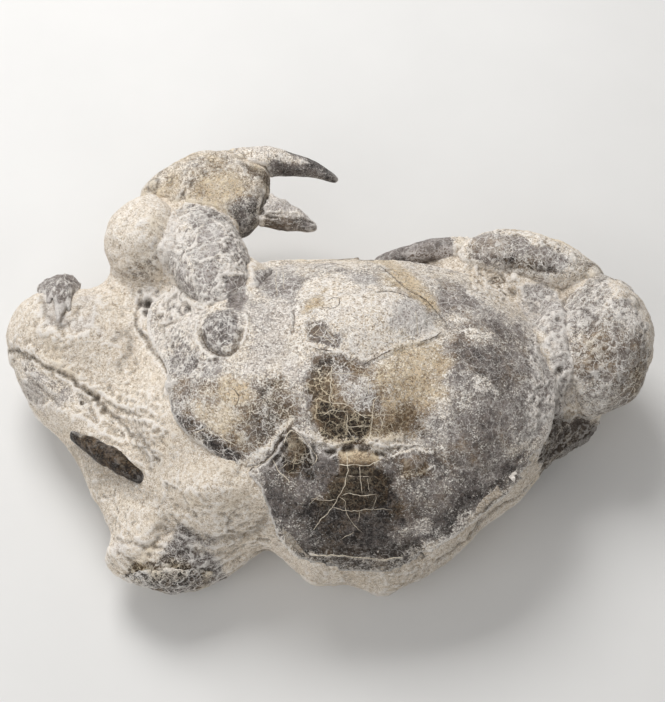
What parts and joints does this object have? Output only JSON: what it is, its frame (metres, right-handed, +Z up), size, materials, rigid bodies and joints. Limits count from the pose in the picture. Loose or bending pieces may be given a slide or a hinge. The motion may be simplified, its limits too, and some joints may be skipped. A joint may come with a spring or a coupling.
{
  "type": "fossil crab",
  "caption": "Large fossil crab in its stone, lying on a flat underside: vaulted back shell, a pincer claw reaching out at the front, a rounded claw palm at the other side and leg stubs.",
  "frame": {"origin": "a point on the flat resting face, below the front half of the back shell", "axes": "+X towards the crab's right side, on the viewer's right in the picture; +Y towards its front edge and claws; +Z up, out of its back"},
  "size_m": [0.2515, 0.1757, 0.0764],
  "materials": {
    "Pale sandstone": "rough, grainy, pale grey-tan stone",
    "Brown fossil shell": "dark grey-brown fossil shell, satin, with pale calcite cracks",
    "Grey fossil shell": "light grey fossil shell with a net of pale cracks",
    "Weathered pale shell": "matte, pale tan weathered shell with small dark pits"
  },
  "bodies": {
    "root": {"matrix_stone": "Pale sandstone", "carapace": "Brown fossil shell", "left_claw_arm": "Grey fossil shell", "left_claw_wrist": "Weathered pale shell", "left_claw_palm": "Weathered pale shell", "left_claw_movable_finger": "Brown fossil shell", "left_claw_fixed_finger": "Grey fossil shell", "right_claw_palm": "Grey fossil shell", "right_claw_arm": "Brown fossil shell", "front_right_leg": "Brown fossil shell", "front_left_leg_stub": "Brown fossil shell", "rear_left_leg": "Brown fossil shell", "hind_left_leg": "Brown fossil shell"}
  },
  "joints": []
}
